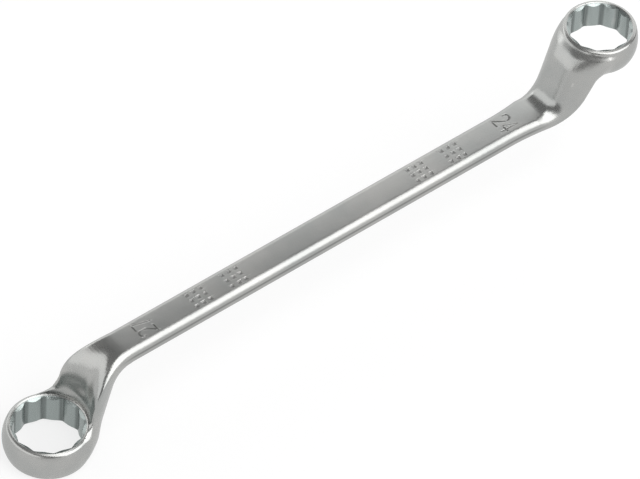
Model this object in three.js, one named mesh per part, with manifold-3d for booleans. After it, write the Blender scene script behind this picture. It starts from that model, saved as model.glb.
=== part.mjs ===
// A double-ended ring spanner with deep-offset ends, drop forged in one piece.
// The shank lies along X and both socket axes stand along Z. The large ring lies below the shank and the
// small ring above it. Lengths are in millimetres, angles in degrees.

import * as THREE from 'three';
import { mergeVertices } from 'three/addons/utils/BufferGeometryUtils.js';
import Module from 'manifold-3d';

const wasm = await Module();
wasm.setup();

// Sizes of the whole spanner
const CENTRE_DISTANCE = 293.5;
const SHANK_WIDTH = 15.3;
const SHANK_THICKNESS = 8.1;
const SHANK_EDGE_RADIUS = 2.85;
const NECK_EDGE_RADIUS = 2.2;
const SOCKET_POINTS = 12;
const SOCKET_PLAY = 0.2;
const MOUTH_CONE_ANGLE = 30;
const CUT_OVERRUN = 2;

// Large end: socket and ring
const LARGE_ACROSS_FLATS = 27;
const LARGE_RING_WALL = 3.5;
const LARGE_RING_HEIGHT = 15;
const LARGE_SHOULDER_RADIUS = 5.4;
const LARGE_LAND_WIDTH = 0.7;
const LARGE_MOUTH_LEAD = 0.7;
const LARGE_FIRST_POINT = 0;

// Large end: the cranked neck
const LARGE_OFFSET = 30.5;
const LARGE_FACE_RELIEF = 0.5;
const LARGE_FRONT_SLOPE = 73;
const LARGE_FRONT_BEND_RADIUS = 15;
const LARGE_FRONT_SETBACK = 8.5;
const LARGE_BACK_SLOPE = 70;
const LARGE_BACK_BEND_RADIUS = 9;
const LARGE_BACK_SETBACK = 2.3;
const LARGE_TAPER_ANGLE = 20;
const LARGE_TAPER_FOOT_ANGLE = 44;
const LARGE_TAPER_BLEND_RADIUS = 34;
const LARGE_RING_FILLET_RADIUS = 8;
const LARGE_RING_INSET = 0.7;
const LARGE_BACK_EDGE_RADIUS = 6.5;
const LARGE_BACK_EDGE_RUN = 9;

// Small end: socket and ring
const SMALL_ACROSS_FLATS = 24;
const SMALL_RING_WALL = 2.75;
const SMALL_RING_HEIGHT = 13.8;
const SMALL_SHOULDER_RADIUS = 6.2;
const SMALL_LAND_WIDTH = 0.5;
const SMALL_MOUTH_LEAD = 0.55;
const SMALL_FIRST_POINT = 15;

// Small end: the cranked neck
const SMALL_OFFSET = 25.1;
const SMALL_FACE_RELIEF = 0.5;
const SMALL_FRONT_SLOPE = 74;
const SMALL_FRONT_BEND_RADIUS = 13;
const SMALL_FRONT_SETBACK = 6.4;
const SMALL_BACK_SLOPE = 69;
const SMALL_BACK_BEND_RADIUS = 7;
const SMALL_BACK_SETBACK = 0.2;
const SMALL_TAPER_ANGLE = 15;
const SMALL_TAPER_FOOT_ANGLE = 57;
const SMALL_TAPER_BLEND_RADIUS = 80;
const SMALL_RING_FILLET_RADIUS = 10;
const SMALL_RING_INSET = 0.5;
const SMALL_BACK_EDGE_RADIUS = 8.4;
const SMALL_BACK_EDGE_RUN = 12;

// Fineness of the curves
const RING_STEPS = 72;
const SHOULDER_STEPS = 6;
const BEND_STEPS = 8;
const BLEND_STEPS = 4;
const EDGE_STEPS = 4;
const CREST_STEPS = 5;
const FILLET_STEPS = 5;

const { clamp, degToRad, lerp } = THREE.MathUtils;

// Radii of a socket made of two crossed hexagons: its points lie on one circle, the teeth between them on
// another, half a step further round
function socketOf(acrossFlats) {
  const apothem = (acrossFlats + SOCKET_PLAY) / 2;
  const step = (2 * Math.PI) / SOCKET_POINTS;
  return {
    point: apothem / Math.cos(step),
    tooth: apothem / Math.cos(step / 2),
  };
}

// The two ends are made alike. For each, u is the distance from the socket axis towards the shank and
// v the height from the middle of the shank towards the ring.
function endOf(sizes) {
  const socket = socketOf(sizes.acrossFlats);
  const radius = socket.point + sizes.ringWall;
  const mouth = socket.point + sizes.mouthLead;
  return {
    ...sizes,
    socket,
    radius,
    mouth,
    inner: sizes.offset - sizes.ringHeight / 2,
    outer: sizes.offset + sizes.ringHeight / 2,
  };
}

const largeEnd = endOf({
  acrossFlats: LARGE_ACROSS_FLATS,
  ringWall: LARGE_RING_WALL,
  ringHeight: LARGE_RING_HEIGHT,
  shoulderRadius: LARGE_SHOULDER_RADIUS,
  landWidth: LARGE_LAND_WIDTH,
  mouthLead: LARGE_MOUTH_LEAD,
  firstPoint: LARGE_FIRST_POINT,
  offset: LARGE_OFFSET,
  faceRelief: LARGE_FACE_RELIEF,
  frontSlope: LARGE_FRONT_SLOPE,
  frontBendRadius: LARGE_FRONT_BEND_RADIUS,
  frontSetback: LARGE_FRONT_SETBACK,
  backSlope: LARGE_BACK_SLOPE,
  backBendRadius: LARGE_BACK_BEND_RADIUS,
  backSetback: LARGE_BACK_SETBACK,
  taperAngle: LARGE_TAPER_ANGLE,
  taperFootAngle: LARGE_TAPER_FOOT_ANGLE,
  taperBlendRadius: LARGE_TAPER_BLEND_RADIUS,
  ringFilletRadius: LARGE_RING_FILLET_RADIUS,
  ringInset: LARGE_RING_INSET,
  backEdgeRadius: LARGE_BACK_EDGE_RADIUS,
  backEdgeRun: LARGE_BACK_EDGE_RUN,
});

const smallEnd = endOf({
  acrossFlats: SMALL_ACROSS_FLATS,
  ringWall: SMALL_RING_WALL,
  ringHeight: SMALL_RING_HEIGHT,
  shoulderRadius: SMALL_SHOULDER_RADIUS,
  landWidth: SMALL_LAND_WIDTH,
  mouthLead: SMALL_MOUTH_LEAD,
  firstPoint: SMALL_FIRST_POINT,
  offset: SMALL_OFFSET,
  faceRelief: SMALL_FACE_RELIEF,
  frontSlope: SMALL_FRONT_SLOPE,
  frontBendRadius: SMALL_FRONT_BEND_RADIUS,
  frontSetback: SMALL_FRONT_SETBACK,
  backSlope: SMALL_BACK_SLOPE,
  backBendRadius: SMALL_BACK_BEND_RADIUS,
  backSetback: SMALL_BACK_SETBACK,
  taperAngle: SMALL_TAPER_ANGLE,
  taperFootAngle: SMALL_TAPER_FOOT_ANGLE,
  taperBlendRadius: SMALL_TAPER_BLEND_RADIUS,
  ringFilletRadius: SMALL_RING_FILLET_RADIUS,
  ringInset: SMALL_RING_INSET,
  backEdgeRadius: SMALL_BACK_EDGE_RADIUS,
  backEdgeRun: SMALL_BACK_EDGE_RUN,
});

// Where the ends stand: each leaves the shank in its own direction along X and Z
const largeSide = { end: largeEnd, axis: -CENTRE_DISTANCE / 2, towardsShank: 1, up: -1 };
const smallSide = { end: smallEnd, axis: CENTRE_DISTANCE / 2, towardsShank: -1, up: 1 };

// A line that runs flat at the given level and bends through an arc into a slope through (u, v).
// It gives the height and the steepness at any u, and the ends of its arc.
function bentLine({ level, u, v, slope, bendRadius }) {
  const angle = degToRad(slope);
  const steepness = Math.tan(angle);
  const corner = u + (v - level) / steepness;
  const arcStart = corner + bendRadius * Math.tan(angle / 2);
  const arcEnd = arcStart - bendRadius * Math.sin(angle);
  const at = (place) => {
    if (place >= arcStart) return { v: level, steepness: 0 };
    if (place <= arcEnd) return { v: v + (u - place) * steepness, steepness };
    const reach = arcStart - place;
    const drop = Math.sqrt(bendRadius ** 2 - reach ** 2);
    return { v: level + bendRadius - drop, steepness: reach / drop };
  };
  const arcPlaces = [];
  for (let i = 0; i <= BEND_STEPS; i += 1) {
    arcPlaces.push(arcStart - bendRadius * Math.sin((angle * i) / BEND_STEPS));
  }
  return { at, arcPlaces, arcStart };
}

// The face of the neck that looks along the socket axis, on the outside of the bend
function frontLine(end) {
  return bentLine({
    level: -SHANK_THICKNESS / 2,
    u: end.radius - end.frontSetback,
    v: end.inner,
    slope: end.frontSlope,
    bendRadius: end.frontBendRadius,
  });
}

// The back of the neck, on the inside of the bend. It rolls over a crest onto the ring's outer face, with
// the same radius as the ring's shoulder.
function backLine(end) {
  const line = bentLine({
    level: SHANK_THICKNESS / 2,
    u: end.radius - end.backSetback,
    v: end.outer,
    slope: end.backSlope,
    bendRadius: end.backBendRadius,
  });
  const angle = degToRad(end.backSlope);
  const crest = end.shoulderRadius;
  const tangent = crest * Math.tan(angle / 2);
  const crestTop = end.radius - end.backSetback - tangent;
  const crestFoot = crestTop + crest * Math.sin(angle);
  const at = (place) => {
    if (place >= crestFoot) return line.at(place);
    if (place <= crestTop) return { v: end.outer, steepness: 0 };
    const reach = place - crestTop;
    const drop = Math.sqrt(crest ** 2 - reach ** 2);
    return { v: end.outer - crest + drop, steepness: reach / drop };
  };
  const crestPlaces = [];
  for (let i = 0; i <= CREST_STEPS; i += 1) {
    crestPlaces.push(crestTop + crest * Math.sin((angle * i) / CREST_STEPS));
  }
  return { at, arcPlaces: [...line.arcPlaces, ...crestPlaces], arcStart: line.arcStart };
}

// The side of the neck seen in plan. From the shank's edge it runs through a blend into a taper, and from
// the taper through a fillet onto the ring. The taper aims at a foot on the ring.
function sideLine(end) {
  const ring = end.radius - end.ringInset;
  const foot = degToRad(end.taperFootAngle);
  const taper = bentLine({
    level: SHANK_WIDTH / 2,
    u: ring * Math.cos(foot),
    v: ring * Math.sin(foot),
    slope: end.taperAngle,
    bendRadius: end.taperBlendRadius,
  });
  const fillet = end.ringFilletRadius;
  const angle = degToRad(end.taperAngle);
  // The fillet's centre lies at one fillet radius from both the taper and the ring. Along the taper's
  // normal and along the taper itself, seen from the socket axis, it stands at these two distances.
  const across = ring * Math.sin(foot + angle) + fillet;
  const along = Math.sqrt((ring + fillet) ** 2 - across ** 2);
  const centre = {
    u: across * Math.sin(angle) + along * Math.cos(angle),
    w: across * Math.cos(angle) - along * Math.sin(angle),
  };
  const onRing = (centre.u * ring) / (ring + fillet);
  const onTaper = centre.u - fillet * Math.sin(angle);
  const at = (place) => {
    if (place <= onRing) return Math.sqrt(ring ** 2 - place ** 2);
    if (place >= onTaper) return taper.at(place).v;
    return centre.w - Math.sqrt(fillet ** 2 - (place - centre.u) ** 2);
  };
  const filletPlaces = [];
  for (let i = 0; i <= FILLET_STEPS; i += 1) filletPlaces.push(lerp(onRing, onTaper, i / FILLET_STEPS));
  const blendPlaces = [];
  for (let i = 0; i <= BLEND_STEPS; i += 1) {
    blendPlaces.push(lerp(taper.arcPlaces[0], taper.arcPlaces[BEND_STEPS], i / BLEND_STEPS));
  }
  return { at, places: [...filletPlaces, ...blendPlaces], arcStart: taper.arcStart };
}

// One cross-section of the shank or neck: a rectangle with elliptical corners, seen along X. Each face has
// its own height, corner radius and stretch, which is how much longer the slope makes a corner along Z.
function roundedSection(halfWidth, upperFace, lowerFace) {
  const half = (upperFace.z - lowerFace.z) / 2;
  const points = [];
  const addCorner = (face, sign, side, from) => {
    const rise = Math.min(face.edge * face.stretch, half);
    const centre = { y: side * (halfWidth - face.edge), z: face.z - sign * rise };
    for (let i = 0; i <= EDGE_STEPS; i += 1) {
      const angle = ((from + i / EDGE_STEPS) * Math.PI) / 2;
      points.push([centre.y + face.edge * Math.cos(angle), centre.z + rise * Math.sin(angle)]);
    }
  };
  addCorner(upperFace, 1, 1, 0);
  addCorner(upperFace, 1, -1, 1);
  addCorner(lowerFace, -1, -1, 2);
  addCorner(lowerFace, -1, 1, 3);
  return points;
}

// The sections of one neck, from inside the ring to where the shank runs straight. The edges of the back
// grow rounder towards the ring, over a run that starts at the ring's wall.
function neckSections({ end, axis, towardsShank, up }) {
  const front = frontLine(end);
  const back = backLine(end);
  const side = sideLine(end);
  const start = end.radius - end.frontSetback;
  const finish = Math.max(front.arcStart, back.arcStart, side.arcStart);
  const places = [finish, ...front.arcPlaces, ...back.arcPlaces, ...side.places];
  const kept = spaced(places.filter((place) => place > start && place <= finish), start);
  return kept.map((place) => {
    const low = front.at(place);
    const high = back.at(place);
    const edge = lerp(NECK_EDGE_RADIUS, SHANK_EDGE_RADIUS, (place - start) / (finish - start));
    const openShare = clamp(1 - (place - end.radius) / end.backEdgeRun, 0, 1);
    const frontFace = { z: up * low.v, edge, stretch: Math.hypot(1, low.steepness) };
    const backFace = {
      z: up * high.v,
      edge: lerp(edge, end.backEdgeRadius, openShare),
      stretch: Math.hypot(1, high.steepness),
    };
    const [upper, lower] = up > 0 ? [backFace, frontFace] : [frontFace, backFace];
    return { x: axis + towardsShank * place, points: roundedSection(side.at(place), upper, lower) };
  });
}

// Places in rising order, without those that almost coincide
function spaced(places, start) {
  const least = NECK_EDGE_RADIUS / BEND_STEPS;
  const sorted = [...places].sort((a, b) => a - b);
  const kept = [start];
  for (const place of sorted) {
    if (place - kept[kept.length - 1] > least) kept.push(place);
  }
  return kept;
}

// Skins a row of sections and closes its two ends
function loft(sections) {
  const count = sections[0].points.length;
  const positions = [];
  for (const { x, points } of sections) {
    for (const [y, z] of points) positions.push(x, y, z);
  }
  const index = [];
  for (let row = 0; row < sections.length - 1; row += 1) {
    for (let i = 0; i < count; i += 1) {
      const a = row * count + i;
      const b = row * count + ((i + 1) % count);
      index.push(a, b, a + count, b, b + count, a + count);
    }
  }
  const last = (sections.length - 1) * count;
  for (let i = 1; i < count - 1; i += 1) {
    index.push(0, i + 1, i);
    index.push(last, last + i, last + i + 1);
  }
  const geometry = new THREE.BufferGeometry();
  geometry.setAttribute('position', new THREE.Float32BufferAttribute(positions, 3));
  geometry.setIndex(index);
  return geometry;
}

// Turns a closed geometry into a solid that can be joined and cut
function solidOf(geometry) {
  const bare = geometry.clone();
  bare.deleteAttribute('normal');
  bare.deleteAttribute('uv');
  const merged = mergeVertices(bare);
  const corners = merged.index.array;
  const kept = [];
  for (let i = 0; i < corners.length; i += 3) {
    const [a, b, c] = [corners[i], corners[i + 1], corners[i + 2]];
    if (a !== b && b !== c && c !== a) kept.push(a, b, c);
  }
  const mesh = new wasm.Mesh({
    numProp: 3,
    vertProperties: new Float32Array(merged.attributes.position.array),
    triVerts: new Uint32Array(kept),
  });
  return new wasm.Manifold(mesh);
}

// Revolves a profile of (radius, height) points about a socket axis
function revolved(profile, side) {
  const points = profile.map(([radius, height]) => new THREE.Vector2(radius, height));
  const geometry = new THREE.LatheGeometry(points, RING_STEPS);
  geometry.rotateX(Math.PI / 2);
  return placed(geometry, side);
}

// Moves a geometry from the socket's own frame, with its axis on Z, to its place on the spanner
function placed(geometry, { axis }) {
  geometry.translate(axis, 0, 0);
  return solidOf(geometry);
}

// The two levels of a ring's faces, lower first
function faceLevels({ end, up }) {
  const levels = [up * end.inner, up * end.outer];
  return levels.sort((a, b) => a - b);
}

// The ring as a barrel: flat lands at the mouths, a rounded shoulder above and below the wall
function ringSolid(side) {
  const { end } = side;
  const [lower, upper] = faceLevels(side);
  const land = end.mouth + end.landWidth;
  const core = end.radius - end.shoulderRadius;
  const rise = Math.sqrt(end.shoulderRadius ** 2 - (land - core) ** 2);
  const span = Math.atan2(rise, land - core);
  const shoulder = [];
  for (let i = 0; i <= SHOULDER_STEPS; i += 1) {
    const angle = (span * i) / SHOULDER_STEPS;
    shoulder.push([
      core + end.shoulderRadius * Math.cos(angle),
      rise - end.shoulderRadius * Math.sin(angle),
    ]);
  }
  const under = shoulder.map(([radius, depth]) => [radius, lower + depth]).reverse();
  const over = shoulder.map(([radius, depth]) => [radius, upper - depth]);
  return revolved([[0, lower], ...under, ...over, [0, upper]], side);
}

// The broached hole with its twelve points, and the cone at each mouth
function socketCut(side) {
  const { end } = side;
  const [lower, upper] = faceLevels(side);
  const outline = new THREE.Shape();
  for (let i = 0; i < 2 * SOCKET_POINTS; i += 1) {
    const radius = i % 2 === 0 ? end.socket.point : end.socket.tooth;
    const angle = degToRad(end.firstPoint) + (i * Math.PI) / SOCKET_POINTS;
    const point = [radius * Math.cos(angle), radius * Math.sin(angle)];
    if (i === 0) outline.moveTo(...point);
    else outline.lineTo(...point);
  }
  outline.closePath();
  const length = upper - lower + 2 * CUT_OVERRUN;
  const prism = new THREE.ExtrudeGeometry(outline, { depth: length, bevelEnabled: false });
  prism.translate(0, 0, lower - CUT_OVERRUN);
  const apex = end.mouth * Math.tan(degToRad(MOUTH_CONE_ANGLE));
  const overCone = [[0, upper - apex], [end.mouth, upper], [end.mouth, upper + CUT_OVERRUN]];
  const underCone = [[end.mouth, lower - CUT_OVERRUN], [end.mouth, lower], [0, lower + apex]];
  return placed(prism, side)
    .add(revolved([...overCone, [0, upper + CUT_OVERRUN]], side))
    .add(revolved([[0, lower - CUT_OVERRUN], ...underCone], side));
}

// The round relief in the neck's face, so that a nut can pass the neck on its way to the socket
function neckRelief(side) {
  const { end, up } = side;
  const radius = end.mouth + end.faceRelief;
  const levels = [up * end.inner, -up * (SHANK_THICKNESS + CUT_OVERRUN)];
  const [lower, upper] = levels.sort((a, b) => a - b);
  return revolved([[0, lower], [radius, lower], [radius, upper], [0, upper]], side);
}

function forging() {
  const large = neckSections(largeSide);
  const small = neckSections(smallSide).reverse();
  return solidOf(loft([...large, ...small]))
    .subtract(neckRelief(largeSide))
    .subtract(neckRelief(smallSide))
    .add(ringSolid(largeSide))
    .add(ringSolid(smallSide))
    .subtract(socketCut(largeSide))
    .subtract(socketCut(smallSide));
}

function geometryOf(solid) {
  const mesh = solid.getMesh();
  const geometry = new THREE.BufferGeometry();
  geometry.setAttribute('position', new THREE.BufferAttribute(mesh.vertProperties, mesh.numProp));
  geometry.setIndex(new THREE.BufferAttribute(mesh.triVerts, 1));
  geometry.computeVertexNormals();
  return geometry;
}

const chromePlate = new THREE.MeshStandardMaterial({
  name: 'satin_chrome',
  color: 0xb4b5b2,
  metalness: 1,
  roughness: 0.3,
});

const body = new THREE.Mesh(geometryOf(forging()), chromePlate);
body.name = 'ring_spanner_forging';

// The origin is the middle of the spanner's box
const left = largeSide.axis - largeEnd.radius;
const right = smallSide.axis + smallEnd.radius;
body.position.set(-(left + right) / 2, 0, (largeEnd.outer - smallEnd.outer) / 2);

const spanner = new THREE.Group();
spanner.name = 'ring_spanner';
spanner.add(body);

export default spanner;
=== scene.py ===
"""A deep-offset ring spanner in satin chrome on a plain white floor, seen from above its shank."""

import math
from types import SimpleNamespace

import bpy
import numpy as np
from mathutils import Matrix, Vector


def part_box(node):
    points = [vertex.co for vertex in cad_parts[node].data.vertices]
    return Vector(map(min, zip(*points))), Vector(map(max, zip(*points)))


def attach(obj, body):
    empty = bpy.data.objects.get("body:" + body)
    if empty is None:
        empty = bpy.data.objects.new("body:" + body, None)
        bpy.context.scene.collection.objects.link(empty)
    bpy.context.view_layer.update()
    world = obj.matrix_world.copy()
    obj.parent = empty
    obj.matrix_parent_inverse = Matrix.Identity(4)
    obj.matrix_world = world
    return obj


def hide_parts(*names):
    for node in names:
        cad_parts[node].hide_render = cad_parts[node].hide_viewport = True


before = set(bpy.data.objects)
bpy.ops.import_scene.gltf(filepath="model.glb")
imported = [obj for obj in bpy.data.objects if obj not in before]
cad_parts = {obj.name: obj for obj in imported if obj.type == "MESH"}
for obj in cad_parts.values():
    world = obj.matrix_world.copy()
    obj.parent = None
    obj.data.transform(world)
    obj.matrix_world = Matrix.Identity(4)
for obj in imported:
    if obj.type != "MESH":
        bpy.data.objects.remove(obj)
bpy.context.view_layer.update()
solid_low, solid_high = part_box("ring_spanner_forging")

MM = 0.001

# Camera: turned from +Y towards +X, tipped down, and rolled a little, with a very long lens
CAMERA_AZIMUTH = 41.854
CAMERA_PITCH = 47.778
CAMERA_ROLL = 3.960
CAMERA_PLACE = (-1.527078, -1.701929, 2.517420)
SENSOR_WIDTH = 36.0
FOCAL_LENGTH = 456.67
CLIP_START = 0.1
CLIP_END = 50.0

# Floor: diffuse, with a soft shadow, lifted to full white for the eye and a little less in reflections
FLOOR_SIZE = 12.0
FLOOR_COLOUR = 0.25
FLOOR_LIFT = 0.76
FLOOR_GLOSSY_SHARE = 0.74

# Light: a dim room with softboxes, each at the azimuth and elevation where the spanner sees its middle.
# Their azimuths turn from +X towards +Y.
ROOM_LEVEL = 0.24
SOFTBOXES = (
    SimpleNamespace(
        name="key", azimuth=-68, elevation=35.5, distance=1.5, width=1.7, height=2.04, level=2.15,
    ),
    SimpleNamespace(
        name="overhead", azimuth=-80, elevation=80, distance=1.5, width=0.7, height=0.7, level=2.15,
    ),
    SimpleNamespace(
        name="back", azimuth=48, elevation=24, distance=0.55, width=1.3, height=0.48, level=0.95,
    ),
    SimpleNamespace(
        name="left", azimuth=155, elevation=24, distance=0.7, width=2.0, height=0.60, level=0.95,
    ),
)

# Satin chrome plate: its two shades, smoother on the rings and necks than on the blasted shank
CHROME_LIGHT = (0.52, 0.52, 0.505, 1)
CHROME_DARK = (0.455, 0.465, 0.455, 1)
RING_ROUGHNESS = 0.27
SHANK_ROUGHNESS = 0.36
ROUGHNESS_SPREAD = 0.07
BLASTED_HALF = 0.104
BLASTED_FADE = 0.014

# Clouds and grain of the plate, and the fine lines drawn along the shank
CLOUD_SCALE = 60.0
CLOUD_DETAIL = 4.0
CLOUD_START = 0.3
CLOUD_END = 0.7
GRAIN_SCALE = 1100.0
GRAIN_DETAIL = 3.0
GRAIN_HEIGHT = 0.000040
FINE_GRAIN_SCALE = 2800.0
FINE_GRAIN_DETAIL = 2.0
FINE_GRAIN_SHARE = 0.5
RING_GRAIN_SHARE = 0.04
LINES_DETAIL = 3.0
DRAWN_SCALE = (40.0, 900.0, 900.0)
DRAWN_SHARE = 0.25

# Sockets: broached lines, a darker colour inside them that is painted shade of the holes, and painted shade
# in the recesses at their points
SOCKET_SHADE_COLOUR = (0.40, 0.445, 0.435, 1)
SOCKET_FADE = 0.2
BROACH_SCALE = (1500.0, 1500.0, 60.0)
BROACH_HEIGHT = 1.5
RECESS_SHADE_COLOUR = (0.15, 0.17, 0.165, 1)
RECESS_SHADE_START = 0.25
RECESS_SHADE_END = 0.95
RECESS_SHADE_SHARE = 0.45
RECESS_SHADE_STREAK_SHARE = 0.6

# Parting line of the forging, halfway up the shank's edges, painted darker: partly the line itself and
# partly a painted dark reflection along it
PARTING_AND_REFLECTION_COLOUR = (0.24, 0.24, 0.235, 1)
PARTING_AND_REFLECTION_INNER = 0.35
PARTING_AND_REFLECTION_OUTER = 0.85
PARTING_AND_REFLECTION_SHARE = 0.8

# Painted shade on the floors of the stamped marks, by depth under the crown of the top face
SUNK_SHADE_COLOUR = (0.30, 0.30, 0.295, 1)
SUNK_SHADE_SHARE = 0.6
SUNK_SHADE_START = 0.2
SUNK_SHADE_END = 0.45
SUNK_SHADE_BOTTOM = 1.0
SUNK_SHADE_HALF = 4.9

# Edges worn brighter and smoother, in patches
WORN_COLOUR = (0.62, 0.62, 0.60, 1)
WORN_POLISH = 0.05
WEAR_START = 0.53
WEAR_END = 0.62
WEAR_PATCH_START = 0.35
WEAR_PATCH_END = 0.65

# Marks stamped into the shank's top face: squares in threes, and the two sizes as plain numbers
MARK_DEPTH = 0.6
MARK_RISE = 0.5
MARK_DRAFT = 0.55
MARK_FOOT_RADIUS = 0.12
MARK_CELL = 0.13
MARK_MARGIN = 0.5
MARKS_REACH = 106.0
SQUARE_PITCH = 3.58
SQUARE_HALF = 0.98
SQUARE_CORNER = 0.35
SQUARE_MIDDLES = (-67.7, -49.0, 50.8, 69.2)
SQUARES_Y = -0.15
DIGIT_HEIGHT = 8.1
DIGIT_WIDTH = 3.4
DIGIT_STEP = 4.5
STROKE_HALF = 0.45

# Corners of each digit's stroke, as shares of its width from the left and of its height from the foot
DIGITS = {
    "2": (
        (0.02, 0.74), (0.08, 0.88), (0.27, 0.98), (0.5, 1), (0.74, 0.98), (0.93, 0.88),
        (1, 0.74), (0.94, 0.6), (0.74, 0.44), (0, 0), (1, 0),
    ),
    "4": ((0.75, 0), (0.75, 1), (0, 0.28), (1, 0.28)),
    "7": ((0, 1), (1, 1), (0.35, 0)),
}
NUMBERS = (
    SimpleNamespace(digits="27", foot=-92.2, turn=-1),
    SimpleNamespace(digits="24", foot=93.7, turn=1),
)

# Shank, in millimetres as all sizes of the forging are
SHANK_WIDTH = 15.3
SHANK_THICKNESS = 8.1
UPPER_EDGE_RADIUS = 2.85
LOWER_EDGE_RADIUS = 1.9
SHANK_CROWN = 0.25
NECK_EDGE_RADIUS = 2.2
SOCKET_PLAY = 0.2
SOCKET_POINTS = 12
FLAT_STEP = 60
FLAT_TO_POINT = 30
MOUTH_CONE_ANGLE = 30

# Rims, crowns and blends of the forging
RING_BLEND = 5.0
CREST_BLEND = 1.5
CREST_BLEND_DEPTH = 4.0
RIM_TILT = 20.0
RIM_EDGE_RADIUS = 0.4
HORN_BLEND = 2.5
ARCH_BLEND = 6.0
ARCH_MIDDLE_BLEND = 15.0
ARCH_MIDDLE_HALF = 10.0
ARCH_FINISH = 10.0
BACK_EDGE_DEPTH = 8.5
NECK_CROWN = 0.9
NECK_CROWN_HALF = 12.0
TOOTH_ROUNDING = 0.7
POINT_ROUNDING = 0.6

# How far a neck's forms run on inside its ring, where nothing shows them
HIDDEN_REACH = 7.0
HIDDEN_INSET = 4.5
HIDDEN_RISE = 2
FAR_ALONG = 400.0

# Fineness of the surface
FINE_CELL = 0.45
LONG_CELL = 2.4
FINE_REACH = 62.0
GRID_MARGIN = 1.0
ARC_STEPS = 24
CROSSING_STEPS = 6
LEAST_STEP = 0.1
PROBE = 0.02
TINY = 1e-12
FEATURE_SHARE = 0.06
CORNER_SHARE = 0.35

# The two ends. A neck's front is the face with the relief, its back the one that rolls onto the outer face.
# Slopes and angles are in degrees.
LARGE = SimpleNamespace(
    across_flats=27, ring_wall=3.5, ring_height=15, inner_barrel=16.5, outer_barrel=16.5,
    crest_radius=9, mouth_lead=0.7, first_point=0, offset=30.5, face_relief=0.5, front_slope=72,
    front_bend_radius=25.8, front_setback=10.7, back_slope=71.6, back_bend_radius=10,
    back_setback=-1.4, taper_angle=18.2, taper_foot_angle=49.7, taper_blend_radius=46,
    ring_inset=0.7, back_edge_radius=8.4, back_edge_run=17.7,
    front_edge_radius=UPPER_EDGE_RADIUS, shank_back_radius=LOWER_EDGE_RADIUS,
)
SMALL = SimpleNamespace(
    across_flats=24, ring_wall=2.75, ring_height=13.8, inner_barrel=14, outer_barrel=22,
    crest_radius=14, mouth_lead=0.55, first_point=15, offset=25.1, face_relief=0.5, front_slope=64,
    front_bend_radius=20.7, front_setback=7.2, back_slope=68.8, back_bend_radius=8,
    back_setback=-2.4, taper_angle=12.4, taper_foot_angle=74.9, taper_blend_radius=120,
    ring_inset=0.5, back_edge_radius=10.9, back_edge_run=21.4,
    front_edge_radius=LOWER_EDGE_RADIUS, shank_back_radius=UPPER_EDGE_RADIUS,
)


def bend_points(level, u, v, slope, bend_radius):
    """Points of an arc from a flat line at one level into a slope through (u, v), from the shank inwards."""
    angle = math.radians(slope)
    corner = u + (v - level) / math.tan(angle)
    start = corner + bend_radius * math.tan(angle / 2)
    turns = np.linspace(0, angle, ARC_STEPS)
    along = start - bend_radius * np.sin(turns)
    return np.column_stack((along, level + bend_radius * (1 - np.cos(turns))))


def front_points(end):
    """The neck's face on the outside of the bend, which looks along the socket axis."""
    foot = end.radius - end.front_setback
    arc = bend_points(-SHANK_THICKNESS / 2, foot, end.inner, end.front_slope, end.front_bend_radius)
    rise = end.ring_height * HIDDEN_RISE
    inside = (foot - rise / math.tan(math.radians(end.front_slope)), end.inner + rise)
    return np.vstack(((FAR_ALONG, -SHANK_THICKNESS / 2), arc, inside))


def back_points(end):
    """The neck's back, on the inside of the bend, rolling over a crest onto the ring's outer face."""
    corner = end.radius - end.back_setback
    arc = bend_points(SHANK_THICKNESS / 2, corner, end.outer, end.back_slope, end.back_bend_radius)
    angle = math.radians(end.back_slope)
    crest = end.crest_radius
    top = corner - crest * math.tan(angle / 2)
    turns = np.linspace(angle, 0, ARC_STEPS)
    roll = np.column_stack((top + crest * np.sin(turns), end.outer - crest * (1 - np.cos(turns))))
    return np.vstack(((FAR_ALONG, SHANK_THICKNESS / 2), arc, roll, (-FAR_ALONG, end.outer)))


def side_points(end):
    """The neck's side in plan: the shank's edge, a blend, and a taper that aims at a foot on the ring."""
    ring = end.radius - end.ring_inset
    foot = math.radians(end.taper_foot_angle)
    foot_u = ring * math.cos(foot)
    foot_y = ring * math.sin(foot)
    arc = bend_points(SHANK_WIDTH / 2, foot_u, foot_y, end.taper_angle, end.taper_blend_radius)
    reach = foot_y + (foot_u - HIDDEN_REACH) * math.tan(math.radians(end.taper_angle))
    hidden = end.radius - HIDDEN_INSET
    inside = ((HIDDEN_REACH, reach), (0, hidden), (-FAR_ALONG, hidden))
    return np.vstack(((FAR_ALONG, SHANK_WIDTH / 2), arc, *inside))


def complete(end):
    """Adds the radii, levels and outlines that follow from an end's sizes."""
    step = 2 * math.pi / SOCKET_POINTS
    end.apothem = (end.across_flats + SOCKET_PLAY) / 2
    end.point = end.apothem / math.cos(step)
    end.radius = end.point + end.ring_wall
    end.mouth = end.point + end.mouth_lead
    end.inner = end.offset - end.ring_height / 2
    end.outer = end.offset + end.ring_height / 2
    end.front = front_points(end)
    end.back = back_points(end)
    end.side = side_points(end)
    lines = (end.front, end.back, end.side)
    end.neck_finish = max(line[1][0] for line in lines)
    end.neck_start = end.radius - end.front_setback


complete(LARGE)
complete(SMALL)

# Where the ends stand in the model's frame: both socket axes and the middle of the shank
LARGE_AXIS = solid_low.x / MM + LARGE.radius
SMALL_AXIS = solid_high.x / MM - SMALL.radius
SHANK_LEVEL = solid_low.z / MM + LARGE.outer


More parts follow.
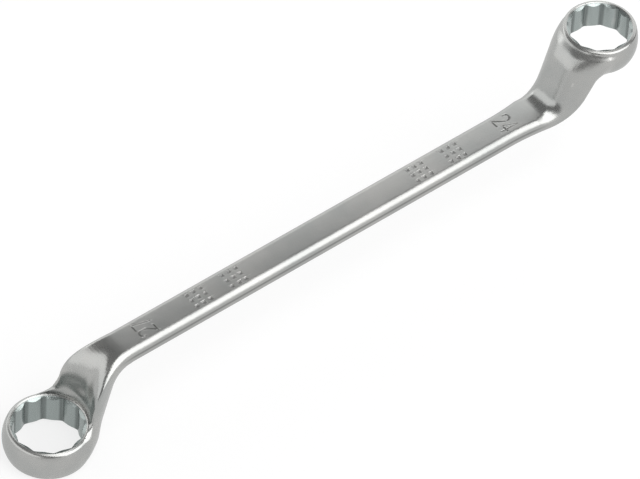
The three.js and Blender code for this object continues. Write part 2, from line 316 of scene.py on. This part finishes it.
def line_distance(u, v, points):
    """Distance from (u, v) to a line of points that runs inwards, positive above it and negative below."""
    nearest = np.full(np.broadcast(u, v).shape, FAR_ALONG)
    for (au, av), (bu, bv) in zip(points[:-1], points[1:]):
        du, dv = bu - au, bv - av
        share = np.clip(((u - au) * du + (v - av) * dv) / (du * du + dv * dv), 0, 1)
        nearest = np.minimum(nearest, np.hypot(u - au - share * du, v - av - share * dv))
    level = np.interp(u, points[::-1, 0], points[::-1, 1])
    return np.where(v > level, nearest, -nearest)


def soft_union(a, b, reach):
    share = np.clip(0.5 + 0.5 * (b - a) / reach, 0, 1)
    return b * (1 - share) + a * share - reach * share * (1 - share)


def rounded_corner(face, side, width, depth):
    """Where a face and a side meet, cut to an elliptical corner of that width and depth."""
    down = face / depth + 1
    across = side / width + 1
    outside = np.hypot(np.maximum(down, 0), np.maximum(across, 0))
    inside = np.minimum(np.maximum(down, across), 0)
    return (outside + inside - 1) * np.minimum(width, depth)


def smooth_step(value, low, high):
    share = np.clip((value - low) / (high - low), 0, 1)
    return share * share * (3 - 2 * share)


def neck_field(end, u, y, v):
    """The shank and neck as far as the ring: negative inside, near the true distance at the surface."""
    along = np.clip((u - end.neck_start) / (end.neck_finish - end.neck_start), 0, 1)
    crown = SHANK_CROWN * np.minimum((2 * y / SHANK_WIDTH) ** 2, 1)
    crown = crown + NECK_CROWN * (1 - along) * np.minimum((y / NECK_CROWN_HALF) ** 2, 1)
    front_edge = NECK_EDGE_RADIUS + (end.front_edge_radius - NECK_EDGE_RADIUS) * along
    edge = NECK_EDGE_RADIUS + (end.shank_back_radius - NECK_EDGE_RADIUS) * along
    opening = np.clip(1 - (u - end.radius) / end.back_edge_run, 0, 1)
    back_edge = edge + (end.back_edge_radius - edge) * opening
    side = line_distance(u, np.abs(y), end.side)
    front = -line_distance(u, v, end.front) + crown
    back = line_distance(u, v, end.back) + crown
    over = rounded_corner(back, side, back_edge, np.minimum(back_edge, BACK_EDGE_DEPTH))
    under = rounded_corner(front, side, front_edge, front_edge)
    return np.maximum(over, under)


def ring_field(end, r, v):
    """The ring: a barrel wall on each side of mid-height, and a slightly tilted band round each mouth."""
    height = np.abs(v - end.offset)
    barrel = np.where(v < end.offset, end.inner_barrel, end.outer_barrel)
    wall = np.hypot(r - end.radius + barrel, height) - barrel
    tilt = math.radians(RIM_TILT)
    band = (r - end.mouth) * math.sin(tilt) + (height - end.ring_height / 2) * math.cos(tilt)
    rim = rounded_corner(band, wall, RIM_EDGE_RADIUS, RIM_EDGE_RADIUS)
    return np.maximum(rim, height - end.ring_height / 2)


def hexagon_field(end, u, y, turn):
    """A hexagonal hole with rounded corners, negative inside it."""
    field = None
    for i in range(3):
        angle = math.radians(turn + FLAT_STEP * i)
        slab = np.abs(u * math.cos(angle) + y * math.sin(angle)) - end.apothem
        field = slab if field is None else -soft_union(-field, -slab, POINT_ROUNDING)
    return field


def socket_field(end, u, y, v, r):
    """The twelve-point hole with a cone at each mouth, negative inside it."""
    turn = FLAT_TO_POINT + end.first_point
    first = hexagon_field(end, u, y, turn)
    second = hexagon_field(end, u, y, turn + FLAT_TO_POINT)
    hole = soft_union(first, second, TOOTH_ROUNDING)
    depth = np.maximum(np.minimum(v - end.inner, end.outer - v), 0)
    slope = math.radians(MOUTH_CONE_ANGLE)
    cone = (r - end.mouth) * math.sin(slope) + depth * math.cos(slope)
    return np.minimum(hole, cone)


def end_field(end, u, y, v):
    """One end with its half of the shank: neck, relief, ring and socket, negative inside."""
    r = np.hypot(u, y)
    relief = end.mouth + end.face_relief - r
    neck = neck_field(end, u, y, v)
    softness = smooth_step(end.inner - v, 0, ARCH_FINISH)
    sides = smooth_step(np.abs(y), 0, ARCH_MIDDLE_HALF)
    arch = ARCH_MIDDLE_BLEND + (ARCH_BLEND - ARCH_MIDDLE_BLEND) * sides
    neck = -soft_union(-neck, -relief, HORN_BLEND + (arch - HORN_BLEND) * softness)
    fading = smooth_step(v, end.outer - CREST_BLEND_DEPTH, end.outer)
    reach = RING_BLEND + (CREST_BLEND - RING_BLEND) * fading
    solid = soft_union(neck, ring_field(end, r, v), reach)
    solid = np.maximum(solid, np.minimum(relief, end.inner - v))
    solid = np.maximum(solid, v - end.outer)
    return np.maximum(solid, -socket_field(end, u, y, v, r))


def forging_field(x, y, z):
    """Negative inside the forging, at rows of points or on a grid. Millimetres in the model's frame."""
    v = z - SHANK_LEVEL
    if np.ndim(x) == 3:
        split = int(np.searchsorted(x[:, 0, 0], 0))
        large = end_field(LARGE, x[:split] - LARGE_AXIS, y, -v)
        small = end_field(SMALL, SMALL_AXIS - x[split:], y, v)
        return np.concatenate((large, small))
    field = np.empty(x.shape)
    left = x < 0
    right = ~left
    field[left] = end_field(LARGE, x[left] - LARGE_AXIS, y[left], -v[left])
    field[right] = end_field(SMALL, SMALL_AXIS - x[right], y[right], v[right])
    return field


def face_level(y):
    """Height of the shank's crowned top face."""
    return SHANK_LEVEL + SHANK_THICKNESS / 2 - SHANK_CROWN * (2 * y / SHANK_WIDTH) ** 2


def squares_outline(middle, x, y):
    """Distance in plan to the nearest of nine rounded squares round a middle."""
    across = [None, None]
    for i, value in enumerate((x - middle, y - SQUARES_Y)):
        nearest = np.clip(np.round(value / SQUARE_PITCH), -1, 1) * SQUARE_PITCH
        across[i] = np.abs(value - nearest) - SQUARE_HALF + SQUARE_CORNER
    outside = np.hypot(np.maximum(across[0], 0), np.maximum(across[1], 0))
    return outside + np.minimum(np.maximum(across[0], across[1]), 0) - SQUARE_CORNER


def number_outline(number, x, y):
    """Distance in plan to a number's strokes. Its tops point to +X, or to -X where its turn is -1."""
    along, across = number.turn * (x - number.foot), number.turn * y
    first = (DIGIT_STEP * (len(number.digits) - 1) + DIGIT_WIDTH) / 2
    nearest = np.full(np.broadcast(x, y).shape, FAR_ALONG)
    for i, digit in enumerate(number.digits):
        points = np.array(DIGITS[digit])
        ups = DIGIT_HEIGHT * points[:, 1]
        sides = first - DIGIT_STEP * i - DIGIT_WIDTH * points[:, 0]
        for ax, ay, bx, by in zip(ups[:-1], sides[:-1], ups[1:], sides[1:]):
            dx, dy = bx - ax, by - ay
            share = np.clip(((along - ax) * dx + (across - ay) * dy) / (dx * dx + dy * dy), 0, 1)
            nearest = np.minimum(nearest, np.hypot(along - ax - share * dx, across - ay - share * dy))
    return nearest - STROKE_HALF


def sunk_field(outline):
    """Negative inside marks with sloping walls and a rounded foot. They rise a little above the top face."""
    def field(x, y, z):
        depth = face_level(y) - z
        wall = outline(x, y) + MARK_DRAFT * depth
        solid = rounded_corner(depth - MARK_DEPTH, wall, MARK_FOOT_RADIUS, MARK_FOOT_RADIUS)
        return np.maximum(solid, -depth - MARK_RISE)
    return field


def all_marks():
    """The field of each group of marks, with the lines of its grid."""
    marks = []
    reach = SQUARE_PITCH + SQUARE_HALF + MARK_RISE
    for middle in SQUARE_MIDDLES:
        field = sunk_field(lambda x, y, middle=middle: squares_outline(middle, x, y))
        marks.append((field, mark_lines(middle - reach, middle + reach, reach + abs(SQUARES_Y))))
    for number in NUMBERS:
        field = sunk_field(lambda x, y, number=number: number_outline(number, x, y))
        ends = (number.foot, number.foot + number.turn * DIGIT_HEIGHT)
        stroke = STROKE_HALF + MARK_RISE
        half = (DIGIT_STEP + DIGIT_WIDTH) / 2 + stroke
        marks.append((field, mark_lines(min(ends) - stroke, max(ends) + stroke, half)))
    return marks


def marked_field(marks):
    """The field of the forging with its marks cut out, for rows of points."""
    def field(x, y, z):
        solid = forging_field(x, y, z)
        high = np.abs(face_level(y) - z) < MARK_DEPTH + MARK_RISE
        near = high & (np.abs(y) < SHANK_WIDTH / 2) & (np.abs(x) < MARKS_REACH)
        for sunk, lines in marks:
            solid[near] = np.maximum(solid[near], -sunk(x[near], y[near], z[near]))
        return solid
    return field


def field_normals(field, points):
    """Directions in which the field grows fastest, which point out of the surface."""
    slopes = np.empty_like(points)
    for axis in range(3):
        step = np.zeros(3)
        step[axis] = PROBE
        slopes[:, axis] = field(*(points + step).T) - field(*(points - step).T)
    return slopes / np.maximum(np.linalg.norm(slopes, axis=1, keepdims=True), TINY)


def forging_lines():
    """Levels of the grid along X, Y and Z. They are close at the ends and further apart along the shank."""
    low = np.array(solid_low) / MM - GRID_MARGIN
    high = np.array(solid_high) / MM + GRID_MARGIN
    left = np.arange(low[0], low[0] + FINE_REACH, FINE_CELL)
    right = np.arange(high[0] - FINE_REACH, high[0], FINE_CELL)
    count = int((right[0] - left[-1]) / LONG_CELL)
    middle = np.linspace(left[-1], right[0], count + 1)[1:-1]
    across = np.arange(low[1], high[1], FINE_CELL)
    upright = np.arange(low[2], high[2], FINE_CELL)
    return np.concatenate((left, middle, right)), across, upright


def mark_lines(low_x, high_x, half):
    """Levels of a fine grid round marks in the top face."""
    low = face_level(half) - MARK_DEPTH - MARK_MARGIN
    high = face_level(0) + MARK_RISE + MARK_MARGIN
    return (
        np.arange(low_x - MARK_MARGIN, high_x + MARK_MARGIN, MARK_CELL),
        np.arange(-half - MARK_MARGIN, half + MARK_MARGIN, MARK_CELL),
        np.arange(low, high, MARK_CELL),
    )


def narrowed(field, inner, outer):
    """The point between each inner and outer point where the field is zero."""
    inner_value, outer_value = field(*inner.T), field(*outer.T)
    for _ in range(CROSSING_STEPS):
        share = inner_value / (inner_value - outer_value)
        share = np.clip(share, LEAST_STEP, 1 - LEAST_STEP)
        middle = inner + (outer - inner) * share[:, None]
        value = field(*middle.T)
        within = value < 0
        inner = np.where(within[:, None], middle, inner)
        inner_value = np.where(within, value, inner_value)
        outer = np.where(within[:, None], outer, middle)
        outer_value = np.where(within, outer_value, value)
    share = inner_value / (inner_value - outer_value)
    return inner + (outer - inner) * share[:, None]


def crossings(field, lines, inside, axis):
    """Grid edges along one axis that pass through the surface, with the points where they do."""
    lower = [slice(None)] * 3
    upper = [slice(None)] * 3
    lower[axis] = slice(0, -1)
    upper[axis] = slice(1, None)
    index = np.argwhere(inside[tuple(lower)] != inside[tuple(upper)])
    for other in range(3):
        if other != axis:
            index = index[(index[:, other] > 0) & (index[:, other] < len(lines[other]) - 1)]
    leaving = inside[tuple(index.T)]
    start = np.column_stack([lines[a][index[:, a]] for a in range(3)])
    finish = start.copy()
    finish[:, axis] = lines[axis][index[:, axis] + 1]
    inner = np.where(leaving[:, None], start, finish)
    outer = np.where(leaving[:, None], finish, start)
    return index, leaving, narrowed(field, inner, outer)


def cells_round(index, axis):
    """The four cells round each grid edge, in turning order seen from the edge's far end."""
    first, second = (axis + 1) % 3, (axis + 2) % 3
    cells = np.repeat(index[:, None, :], 4, axis=1)
    cells[:, (0, 3), first] -= 1
    cells[:, (0, 1), second] -= 1
    return cells


def cell_points(owner, points, normals, count):
    """The point of each cell that lies best on the planes through its crossings."""
    share = np.zeros(count)
    np.add.at(share, owner, 1)
    middle = np.zeros((count, 3))
    np.add.at(middle, owner, points)
    middle /= share[:, None]
    offset = np.einsum("ij,ij->i", normals, points - middle[owner])
    matrix = np.zeros((count, 3, 3))
    np.add.at(matrix, owner, normals[:, :, None] * normals[:, None, :])
    vector = np.zeros((count, 3))
    np.add.at(vector, owner, normals * offset[:, None])
    strength, direction = np.linalg.eigh(matrix)
    kept = strength > FEATURE_SHARE * strength[:, -1:]
    inverse = np.where(kept, 1 / np.where(kept, strength, 1), 0)
    along = np.einsum("nij,ni->nj", direction, vector) * inverse
    return middle + np.einsum("nij,nj->ni", direction, along)


def surface(field, lines):
    """Vertices and quads of the surface where a field is zero."""
    x, y, z = lines
    inside = field(x[:, None, None], y[None, :, None], z[None, None, :]) < 0
    cells, points, flips = [], [], []
    for axis in range(3):
        index, leaving, point = crossings(field, lines, inside, axis)
        cells.append(cells_round(index, axis))
        points.append(point)
        flips.append(leaving)
    cells = np.concatenate(cells)
    points = np.concatenate(points)
    leaving = np.concatenate(flips)
    normals = field_normals(field, points)
    sizes = [len(line) for line in lines]
    numbers = np.ravel_multi_index(tuple(np.moveaxis(cells, 2, 0)), sizes)
    known, quads = np.unique(numbers, return_inverse=True)
    quads = quads.reshape(-1, 4)
    owner = quads.ravel()
    vertices = cell_points(owner, np.repeat(points, 4, axis=0), np.repeat(normals, 4, axis=0), len(known))
    place = np.column_stack(np.unravel_index(known, sizes))
    low = np.column_stack([lines[a][place[:, a]] for a in range(3)])
    high = np.column_stack([lines[a][place[:, a] + 1] for a in range(3)])
    vertices = np.clip(vertices, low, high)
    vertices = np.clip(vertices, np.array(solid_low) / MM, np.array(solid_high) / MM)
    return vertices, np.where(leaving[:, None], quads, quads[:, ::-1])


def camera_axes():
    """The camera's right, up and forward directions."""
    azimuth, pitch, roll = (math.radians(a) for a in (CAMERA_AZIMUTH, CAMERA_PITCH, CAMERA_ROLL))
    level_right = Vector((math.cos(azimuth), -math.sin(azimuth), 0))
    level_forward = Vector((math.sin(azimuth), math.cos(azimuth), 0))
    forward = math.cos(pitch) * level_forward - math.sin(pitch) * Vector((0, 0, 1))
    level_up = level_right.cross(forward)
    right = math.cos(roll) * level_right + math.sin(roll) * level_up
    up = math.cos(roll) * level_up - math.sin(roll) * level_right
    return right, up, forward


def make_camera():
    data = bpy.data.cameras.new("photo_camera")
    data.sensor_width = SENSOR_WIDTH
    data.lens = FOCAL_LENGTH
    data.clip_start = CLIP_START
    data.clip_end = CLIP_END
    camera = bpy.data.objects.new("photo_camera", data)
    bpy.context.scene.collection.objects.link(camera)
    right, up, forward = camera_axes()
    turn = Matrix((right, up, -forward)).transposed().to_4x4()
    camera.matrix_world = Matrix.Translation(CAMERA_PLACE) @ turn
    bpy.context.scene.camera = camera


def new_material(name):
    material = bpy.data.materials.new(name)
    material.use_nodes = True
    material.node_tree.nodes.clear()
    return material, material.node_tree.nodes, material.node_tree.links


def floor_material():
    material, nodes, links = new_material("floor_white")
    tree = material.node_tree
    diffuse = nodes.new("ShaderNodeBsdfDiffuse")
    diffuse.inputs["Color"].default_value = (FLOOR_COLOUR, FLOOR_COLOUR, FLOOR_COLOUR, 1)
    path = nodes.new("ShaderNodeLightPath")
    glossy = calculate(tree, "MULTIPLY", path.outputs["Is Glossy Ray"], FLOOR_GLOSSY_SHARE)
    seen = calculate(tree, "MAXIMUM", path.outputs["Is Camera Ray"], glossy)
    glow = nodes.new("ShaderNodeEmission")
    links.new(calculate(tree, "MULTIPLY", seen, FLOOR_LIFT), glow.inputs["Strength"])
    both = nodes.new("ShaderNodeAddShader")
    links.new(diffuse.outputs[0], both.inputs[0])
    links.new(glow.outputs[0], both.inputs[1])
    output = nodes.new("ShaderNodeOutputMaterial")
    links.new(both.outputs[0], output.inputs["Surface"])
    return material


def make_floor():
    """A level square under the large ring."""
    half = FLOOR_SIZE / 2
    level = solid_low.z
    corners = [(-half, -half, level), (half, -half, level), (half, half, level), (-half, half, level)]
    mesh = bpy.data.meshes.new("floor")
    mesh.from_pydata(corners, [], [(0, 1, 2, 3)])
    mesh.materials.append(floor_material())
    floor = bpy.data.objects.new("floor", mesh)
    bpy.context.scene.collection.objects.link(floor)


def make_world():
    world = bpy.data.worlds.new("room")
    bpy.context.scene.world = world
    world.use_nodes = True
    nodes, links = world.node_tree.nodes, world.node_tree.links
    nodes.clear()
    room = nodes.new("ShaderNodeBackground")
    room.inputs["Strength"].default_value = ROOM_LEVEL
    output = nodes.new("ShaderNodeOutputWorld")
    links.new(room.outputs[0], output.inputs["Surface"])


def make_softbox(box):
    """A rectangular lamp that faces the spanner and looks equally bright all over."""
    azimuth, elevation = math.radians(box.azimuth), math.radians(box.elevation)
    level = math.cos(elevation)
    towards = Vector((level * math.cos(azimuth), level * math.sin(azimuth), math.sin(elevation)))
    data = bpy.data.lights.new("softbox_" + box.name, "AREA")
    data.shape = "RECTANGLE"
    data.size = box.width
    data.size_y = box.height
    data.energy = box.level * math.pi * box.width * box.height
    lamp = bpy.data.objects.new("softbox_" + box.name, data)
    lamp.location = towards * box.distance
    lamp.rotation_mode = "QUATERNION"
    lamp.rotation_quaternion = (-towards).to_track_quat("-Z", "Y")
    lamp.visible_camera = False
    bpy.context.scene.collection.objects.link(lamp)


def put_value(tree, socket, value):
    if isinstance(value, bpy.types.NodeSocket):
        tree.links.new(value, socket)
    else:
        socket.default_value = value


def calculate(tree, operation, *values):
    """A math node. Each value is a number or another node's output."""
    node = tree.nodes.new("ShaderNodeMath")
    node.operation = operation
    for socket, value in zip(node.inputs, values):
        put_value(tree, socket, value)
    return node.outputs[0]


def ramp(tree, value, start, finish):
    """Rises smoothly from 0 to 1 as a value goes from start to finish."""
    node = tree.nodes.new("ShaderNodeMapRange")
    node.interpolation_type = "SMOOTHSTEP"
    tree.links.new(value, node.inputs["Value"])
    node.inputs["From Min"].default_value = start
    node.inputs["From Max"].default_value = finish
    return node.outputs["Result"]


def noise(tree, place, scale, detail):
    node = tree.nodes.new("ShaderNodeTexNoise")
    tree.links.new(place, node.inputs["Vector"])
    node.inputs["Scale"].default_value = scale
    node.inputs["Detail"].default_value = detail
    return node.outputs["Fac"]


def lines_noise(tree, place, scale):
    """Noise drawn out into lines along the axis with the smallest scale."""
    stretch = tree.nodes.new("ShaderNodeMapping")
    stretch.inputs["Scale"].default_value = scale
    tree.links.new(place, stretch.inputs["Vector"])
    return noise(tree, stretch.outputs[0], 1.0, LINES_DETAIL)


def mix_colours(tree, share, first, second):
    node = tree.nodes.new("ShaderNodeMix")
    node.data_type = "RGBA"
    put_value(tree, node.inputs["Factor"], share)
    put_value(tree, node.inputs["A"], first)
    put_value(tree, node.inputs["B"], second)
    return node.outputs["Result"]


def socket_shares(tree, x, y):
    """Shares that are 1 inside the two sockets, and 1 along the recess of each of their points, where shade
    is painted.
    """
    sockets, recess_shades = [], []
    for axis, end in ((LARGE_AXIS, LARGE), (SMALL_AXIS, SMALL)):
        along = calculate(tree, "SUBTRACT", x, axis * MM)
        squares = calculate(tree, "MULTIPLY", along, along)
        squares = calculate(tree, "MULTIPLY_ADD", y, y, squares)
        radius = calculate(tree, "SQRT", squares)
        socket = ramp(tree, radius, (end.point + SOCKET_FADE) * MM, end.point * MM)
        angle = calculate(tree, "ARCTAN2", y, along)
        phase = -math.radians(end.first_point) * SOCKET_POINTS
        wave = calculate(tree, "COSINE", calculate(tree, "MULTIPLY_ADD", angle, SOCKET_POINTS, phase))
        recess_shade = ramp(tree, wave, RECESS_SHADE_START, RECESS_SHADE_END)
        sockets.append(socket)
        recess_shades.append(calculate(tree, "MULTIPLY", recess_shade, socket))
    return calculate(tree, "MAXIMUM", *sockets), calculate(tree, "MAXIMUM", *recess_shades)


def sunk_shade_share(tree, y, z, blasted):
    """Share of the painted shade on the floors of the marks, a little below the shank's top face."""
    depth = calculate(tree, "SUBTRACT", face_level(0) * MM, z)
    below = ramp(tree, depth, SUNK_SHADE_START * MM, SUNK_SHADE_END * MM)
    above = ramp(tree, depth, (SUNK_SHADE_BOTTOM + SUNK_SHADE_END) * MM, SUNK_SHADE_BOTTOM * MM)
    inner = ramp(tree, calculate(tree, "ABSOLUTE", y), SUNK_SHADE_HALF * MM, (SUNK_SHADE_HALF - SUNK_SHADE_START) * MM)
    shaded_floors = calculate(tree, "MULTIPLY", calculate(tree, "MULTIPLY", below, above), inner)
    return calculate(tree, "MULTIPLY", calculate(tree, "MULTIPLY", shaded_floors, blasted), SUNK_SHADE_SHARE)


def parting_and_reflection_share(tree, z, blasted):
    """Share of the darker colour along the parting line: partly the line itself and partly a painted dark
    reflection.
    """
    height = calculate(tree, "ABSOLUTE", calculate(tree, "SUBTRACT", z, SHANK_LEVEL * MM))
    line = ramp(tree, height, PARTING_AND_REFLECTION_OUTER * MM, PARTING_AND_REFLECTION_INNER * MM)
    return calculate(tree, "MULTIPLY", line, calculate(tree, "MULTIPLY", blasted, PARTING_AND_REFLECTION_SHARE))


def worn_share(tree, clouds):
    """Share of wear, along sharp edges and only in patches."""
    geometry = tree.nodes.new("ShaderNodeNewGeometry")
    edges = ramp(tree, geometry.outputs["Pointiness"], WEAR_START, WEAR_END)
    return calculate(tree, "MULTIPLY", edges, ramp(tree, clouds, WEAR_PATCH_START, WEAR_PATCH_END))


def surface_shares(tree, parts, clouds):
    """How much each kind of surface counts at a place, from 0 to 1."""
    beyond = calculate(tree, "ABSOLUTE", parts["X"])
    blasted = ramp(tree, beyond, BLASTED_HALF + BLASTED_FADE, BLASTED_HALF)
    socket, recess_shade = socket_shares(tree, parts["X"], parts["Y"])
    return SimpleNamespace(
        blasted=blasted,
        socket=socket,
        recess_shade=recess_shade,
        worn=worn_share(tree, clouds),
        parting_and_reflection=parting_and_reflection_share(tree, parts["Z"], blasted),
        sunk=sunk_shade_share(tree, parts["Y"], parts["Z"], blasted),
    )


def chrome_colour(tree, shares, clouds, broached):
    shade = ramp(tree, clouds, CLOUD_START, CLOUD_END)
    colour = mix_colours(tree, shade, CHROME_DARK, CHROME_LIGHT)
    # Painted shade: a darker colour inside the sockets
    colour = mix_colours(tree, shares.socket, colour, SOCKET_SHADE_COLOUR)
    # Painted shade in the recesses at the socket points, streaked by the broach lines
    shade_streaks = calculate(tree, "MULTIPLY_ADD", broached, RECESS_SHADE_STREAK_SHARE, RECESS_SHADE_SHARE)
    recess_shade = calculate(tree, "MULTIPLY", shares.recess_shade, shade_streaks)
    colour = mix_colours(tree, recess_shade, colour, RECESS_SHADE_COLOUR)
    colour = mix_colours(tree, shares.worn, colour, WORN_COLOUR)
    # Darker parting line: partly the line itself and partly a painted dark reflection
    colour = mix_colours(tree, shares.parting_and_reflection, colour, PARTING_AND_REFLECTION_COLOUR)
    # Painted shade on the floors of the stamped marks
    return mix_colours(tree, shares.sunk, colour, SUNK_SHADE_COLOUR)


def chrome_roughness(tree, shares, clouds, grain):
    rougher = SHANK_ROUGHNESS - RING_ROUGHNESS
    base = calculate(tree, "MULTIPLY_ADD", shares.blasted, rougher, RING_ROUGHNESS)
    spread = calculate(tree, "SUBTRACT", calculate(tree, "ADD", grain, clouds), 1.0)
    roughness = calculate(tree, "MULTIPLY_ADD", spread, ROUGHNESS_SPREAD, base)
    return calculate(tree, "MULTIPLY_ADD", shares.worn, -WORN_POLISH, roughness)


def chrome_bump(tree, place, shares, grain, broached):
    """Grain that is full on the blasted shank and faint on the rings, drawn lines, and broached lines."""
    fine = noise(tree, place, FINE_GRAIN_SCALE, FINE_GRAIN_DETAIL)
    drawn = lines_noise(tree, place, DRAWN_SCALE)
    depth = calculate(tree, "MULTIPLY_ADD", shares.blasted, 1 - RING_GRAIN_SHARE, RING_GRAIN_SHARE)
    height = calculate(tree, "MULTIPLY_ADD", fine, FINE_GRAIN_SHARE, grain)
    height = calculate(tree, "MULTIPLY", height, depth)
    height = calculate(tree, "MULTIPLY_ADD", drawn, DRAWN_SHARE, height)
    lines = calculate(tree, "MULTIPLY", broached, shares.socket)
    height = calculate(tree, "MULTIPLY_ADD", lines, BROACH_HEIGHT, height)
    bump = tree.nodes.new("ShaderNodeBump")
    bump.inputs["Strength"].default_value = 1.0
    bump.inputs["Distance"].default_value = GRAIN_HEIGHT
    tree.links.new(height, bump.inputs["Height"])
    return bump.outputs[0]


def chrome_material():
    """Satin chrome: blasted and grainy on the shank, smoother on the rings, worn bright along its edges,
    with painted shade in the sockets and in the floors of the marks, and a painted dark reflection along the
    parting line.
    """
    material, nodes, links = new_material("satin_chrome")
    tree = material.node_tree
    place = nodes.new("ShaderNodeTexCoord").outputs["Object"]
    parts = nodes.new("ShaderNodeSeparateXYZ")
    links.new(place, parts.inputs[0])
    clouds = noise(tree, place, CLOUD_SCALE, CLOUD_DETAIL)
    grain = noise(tree, place, GRAIN_SCALE, GRAIN_DETAIL)
    broached = lines_noise(tree, place, BROACH_SCALE)
    shares = surface_shares(tree, parts.outputs, clouds)
    shader = nodes.new("ShaderNodeBsdfPrincipled")
    shader.inputs["Metallic"].default_value = 1.0
    links.new(chrome_colour(tree, shares, clouds, broached), shader.inputs["Base Color"])
    links.new(chrome_roughness(tree, shares, clouds, grain), shader.inputs["Roughness"])
    links.new(chrome_bump(tree, place, shares, grain, broached), shader.inputs["Normal"])
    output = nodes.new("ShaderNodeOutputMaterial")
    links.new(shader.outputs[0], output.inputs["Surface"])
    return material


def make_solid(name, vertices, quads, material):
    """An object in metres from vertices in millimetres."""
    mesh = bpy.data.meshes.new(name)
    mesh.from_pydata((vertices * MM).tolist(), [], quads.tolist())
    mesh.materials.append(material)
    solid = bpy.data.objects.new(name, mesh)
    bpy.context.scene.collection.objects.link(solid)
    return solid


def cut_marks(piece, marks, material):
    """Cuts all the marks out of a piece in one go."""
    vertices, quads, count = [], [], 0
    for field, lines in marks:
        points, faces = surface(field, lines)
        vertices.append(points)
        quads.append(faces + count)
        count += len(points)
    cutter = make_solid("marks", np.concatenate(vertices), np.concatenate(quads), material)
    modifier = piece.modifiers.new("marks", "BOOLEAN")
    modifier.operation = "DIFFERENCE"
    modifier.solver = "MANIFOLD"
    modifier.object = cutter
    graph = bpy.context.evaluated_depsgraph_get()
    mesh = bpy.data.meshes.new_from_object(piece.evaluated_get(graph))
    piece.modifiers.clear()
    piece.data = mesh
    bpy.data.objects.remove(cutter)


def read_numbers(items, name, width, kind):
    """All values of one property of a mesh's items, in rows where there are several each."""
    values = np.empty(len(items) * width, kind)
    items.foreach_get(name, values)
    return values.reshape(-1, width) if width > 1 else values


def set_normals(piece, field):
    """Shades each corner of each face by the field's own direction, a little way in from the corner."""
    mesh = piece.data
    places = read_numbers(mesh.vertices, "co", 3, np.float32)
    corners = places[read_numbers(mesh.loops, "vertex_index", 1, np.int32)]
    sides = read_numbers(mesh.polygons, "loop_total", 1, np.int32)
    middles = np.repeat(read_numbers(mesh.polygons, "center", 3, np.float32), sides, axis=0)
    towards = (corners + CORNER_SHARE * (middles - corners)) / MM
    mesh.normals_split_custom_set(field_normals(field, towards.astype(float)).tolist())


def make_forging(material):
    vertices, quads = surface(forging_field, forging_lines())
    piece = make_solid("spanner_forging", vertices, quads, material)
    marks = all_marks()
    cut_marks(piece, marks, material)
    set_normals(piece, marked_field(marks))
    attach(piece, "root")
    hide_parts("ring_spanner_forging")


bpy.context.scene.view_settings.view_transform = "Standard"
make_camera()
make_floor()
make_world()
for softbox in SOFTBOXES:
    make_softbox(softbox)
chrome = chrome_material()
make_forging(chrome)
